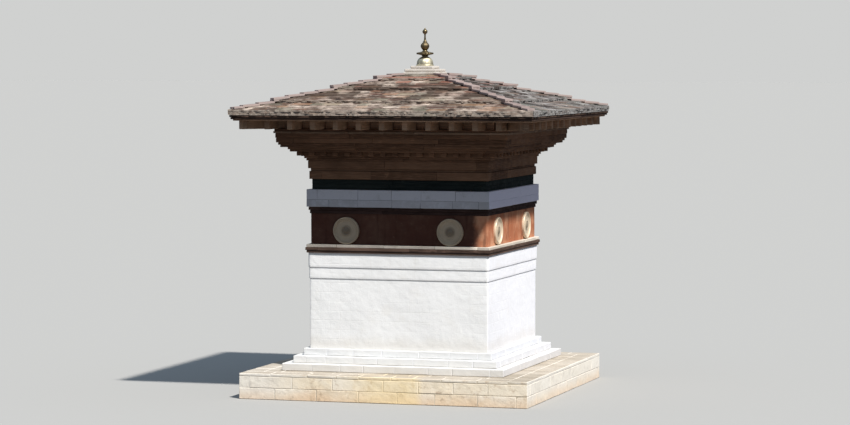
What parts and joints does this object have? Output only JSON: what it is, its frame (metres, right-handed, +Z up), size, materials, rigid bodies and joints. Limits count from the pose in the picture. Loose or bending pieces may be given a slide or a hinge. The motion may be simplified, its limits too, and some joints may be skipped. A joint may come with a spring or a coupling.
{
  "type": "stupa",
  "caption": "Square whitewashed stupa on a low plinth, with a red band set with discs, a grey stone course, a dark corbelled cornice and a low slate roof under a gilt finial",
  "frame": {"origin": "centre of the square footprint, at ground level", "axes": "+Z is up, the front face with its outward normal along -Y, +X to the right of someone facing the front"},
  "size_m": [8.42, 8.42, 9.9586],
  "materials": {
    "whitewash": "limewashed render",
    "plinth_wash": "dirty limewash over block joints",
    "red_ochre": "matt red ochre wash",
    "dark_timber": "dark painted timber",
    "grey_stone": "rough grey stone",
    "pale_stone": "pale stone",
    "slate": "rough split slate",
    "gilt": "weathered gilding"
  },
  "bodies": {
    "root": {"plinth": "plinth_wash", "base_step_lower": "whitewash", "base_step_middle": "whitewash", "base_step_upper": "whitewash", "white_wall": "whitewash", "ledge_course": "dark_timber", "band_sill": "pale_stone", "red_band": "red_ochre", "disc_front_a": "gilt", "disc_front_b": "gilt", "disc_right_a": "gilt", "disc_right_b": "gilt", "disc_back_a": "gilt", "disc_back_b": "gilt", "disc_left_a": "gilt", "disc_left_b": "gilt", "neck_moulding": "dark_timber", "grey_slab": "grey_stone", "frieze_foot": "dark_timber", "frieze": "dark_timber", "cornice_course_1": "dark_timber", "cornice_dentils": "dark_timber", "cornice_course_3": "dark_timber", "cornice_course_4": "dark_timber", "cornice_top_tier": "dark_timber", "roof_core": "dark_timber", "joists_front": "dark_timber", "joists_right": "dark_timber", "joists_back": "dark_timber", "joists_left": "dark_timber", "corner_joists_front_right": "dark_timber", "corner_joists_right_back": "dark_timber", "corner_joists_back_left": "dark_timber", "corner_joists_left_front": "dark_timber", "soffit_boards": "dark_timber", "eave_boards": "dark_timber", "roof_bed": "slate", "slates_front": "slate", "slates_right": "slate", "slates_back": "slate", "slates_left": "slate", "hip_capping_front_right": "pale_stone", "hip_capping_right_back": "pale_stone", "hip_capping_back_left": "pale_stone", "hip_capping_left_front": "pale_stone", "apex_slab": "pale_stone", "apex_step": "pale_stone", "finial_bell": "gilt", "finial_disc": "gilt", "finial_knob": "gilt", "finial_spike": "gilt"}
  },
  "joints": []
}
